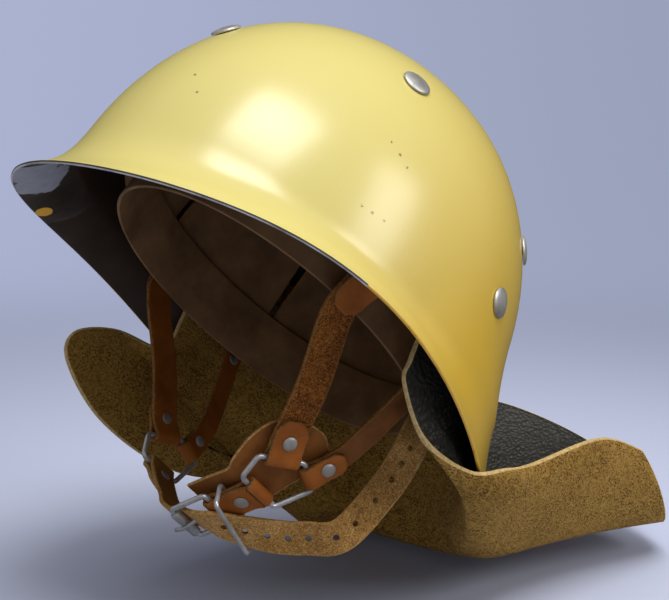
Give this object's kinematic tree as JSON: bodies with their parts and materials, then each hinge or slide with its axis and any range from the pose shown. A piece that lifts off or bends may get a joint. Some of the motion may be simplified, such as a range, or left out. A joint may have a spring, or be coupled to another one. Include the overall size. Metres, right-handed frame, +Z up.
{
  "type": "fire helmet",
  "caption": "Steel fire helmet with a peaked flared brim, riveted leather liner, turned-up leather neck guard and a chin harness with rings, roller buckle and punched strap.",
  "frame": {"origin": "centre of the head opening, at the foot of the dome", "axes": "-Y to the front, +X to the wearer's left, +Z up through the crown"},
  "size_m": [0.232, 0.3868, 0.264],
  "materials": {
    "shell_paint": "gloss enamel over sheet metal",
    "rivet_metal": "worn plated steel",
    "hoop_metal": "bare strip",
    "liner_leather": "smooth, aged",
    "lace": "woven cord",
    "guard_leather": "pebbled grain outside, khaki suede inside",
    "hanger_leather": "smooth dark brown",
    "rust_leather": "rough side out",
    "pad_leather": "smooth brown",
    "tan_leather": "suede side out",
    "wire": "worn nickel plate"
  },
  "bodies": {
    "shell": {"shell": "shell_paint", "crown_rivets": "rivet_metal", "crown_washers": "rivet_metal", "guard_rivets": "rivet_metal", "guard_washers": "rivet_metal", "liner_hoop": "hoop_metal", "crown_straps": "liner_leather", "hoop_rivets": "rivet_metal", "liner_leaves": "liner_leather", "crown_lace": "lace", "sweatband": "liner_leather", "neck_guard": "guard_leather", "left_hangers": "hanger_leather", "right_hangers": "hanger_leather", "hanger_rivets": "rivet_metal", "left_loops": "wire", "right_loops": "wire"},
    "left_harness": {"left_front_strap": "rust_leather", "left_rear_strap": "hanger_leather", "left_ring": "wire", "left_chin_pad": "pad_leather", "strap_rivets": "rivet_metal"},
    "right_harness": {"right_front_strap": "rust_leather", "right_rear_strap": "hanger_leather", "right_ring": "wire", "strap_rivets_right": "rivet_metal"},
    "chin_tab": {"chin_tab": "rust_leather", "chin_tab_rivet": "rivet_metal"},
    "buckle": {"buckle_frame": "wire"},
    "roller": {"buckle_roller": "wire"},
    "prong": {"buckle_prong": "wire"},
    "keeper": {"strap_keeper": "wire"},
    "chin_strap": {"chin_strap": "tan_leather", "chin_strap_rivet": "rivet_metal"}
  },
  "joints": [
    {"name": "left_harness_swing", "type": "hinge", "parent": "shell", "child": "left_harness", "pos_m": [0.085, 0.01, -0.006], "axis": [0, -1, 0], "range_deg": [-6, 6]},
    {"name": "right_harness_swing", "type": "hinge", "parent": "shell", "child": "right_harness", "pos_m": [-0.085, 0.01, -0.006], "axis": [0, -1, 0], "range_deg": [-6, 6]},
    {"name": "chin_tab_pivot", "type": "hinge", "parent": "left_harness", "child": "chin_tab", "pos_m": [0.04312, 0.0185, -0.09791], "axis": [0, -1, 0], "range_deg": [-12, 12], "deforming": ["left_chin_pad"]},
    {"name": "chin_strap_pivot", "type": "hinge", "parent": "right_harness", "child": "chin_strap", "pos_m": [-0.04312, 0.0185, -0.09791], "axis": [0, -1, 0], "range_deg": [-12, 12], "deforming": ["chin_strap"]},
    {"name": "buckle_hinge", "type": "hinge", "parent": "chin_tab", "child": "buckle", "pos_m": [0.02374, 0.0185, -0.1103], "axis": [0, -1, 0], "range_deg": [-8, 35]},
    {"name": "roller_spin", "type": "hinge", "parent": "buckle", "child": "roller", "pos_m": [0.00647, 0.0185, -0.12134], "axis": [0, -1, 0], "continuous": true},
    {"name": "prong_lift", "type": "hinge", "parent": "buckle", "child": "prong", "pos_m": [0.02374, 0.0185, -0.1103], "axis": [0, -1, 0], "range_deg": [0, 55]},
    {"name": "keeper_slide", "type": "slide", "parent": "chin_tab", "child": "keeper", "axis": [-0.8425, 0, -0.5388], "range_m": [-0.0015, 0.001]}
  ],
  "couplings": [
    {"joint": "right_harness_swing", "follows": "left_harness_swing", "ratio": 1},
    {"joint": "chin_tab_pivot", "follows": "left_harness_swing", "ratio": -1.972},
    {"joint": "chin_strap_pivot", "follows": "left_harness_swing", "ratio": -1.972}
  ]
}
